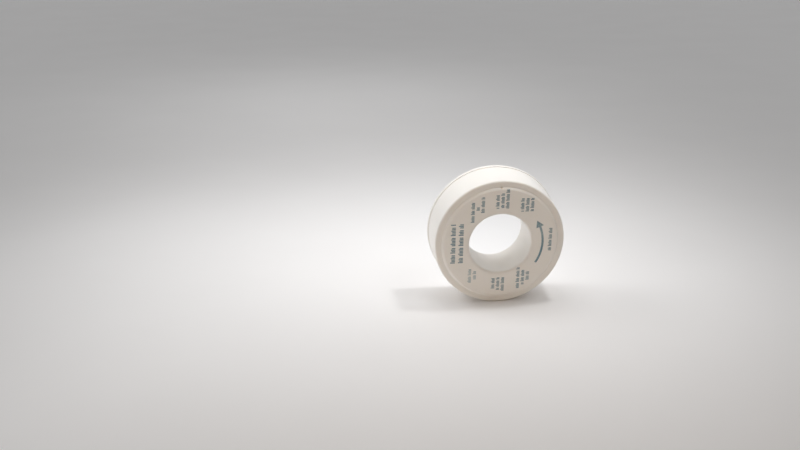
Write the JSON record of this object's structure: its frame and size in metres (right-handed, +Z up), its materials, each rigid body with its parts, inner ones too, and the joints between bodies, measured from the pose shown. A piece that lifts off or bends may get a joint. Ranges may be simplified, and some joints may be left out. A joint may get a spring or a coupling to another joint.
{
  "type": "thread seal tape roll",
  "caption": "Roll of thread seal tape standing on its rim: flanged spool with a wide bore, white tape wound on its hub, and a push-fit cover with a raised print panel that pulls off forwards.",
  "frame": {"origin": "on the axis of the bore, halfway between the front print panel and the back rim", "axes": "+Z up as the roll stands on its rim; +Y along the bore from the printed face to the back; +X to the right of someone who faces the print"},
  "size_m": [0.0496, 0.0166, 0.0496],
  "materials": {
    "spool_plastic": "white moulded polypropylene, satin",
    "cover_plastic": "white moulded polypropylene, satin, with a blue pad-printed face",
    "tape": "soft unsintered white sealing film, waxy"
  },
  "bodies": {
    "spool": {"spool": "spool_plastic", "wound_tape": "tape", "tape_end": "tape"},
    "cover": {"cover": "cover_plastic"}
  },
  "joints": [
    {"name": "cover_pull", "type": "slide", "parent": "spool", "child": "cover", "axis": [0, -1, 0], "range_m": [0, 0.018]}
  ]
}
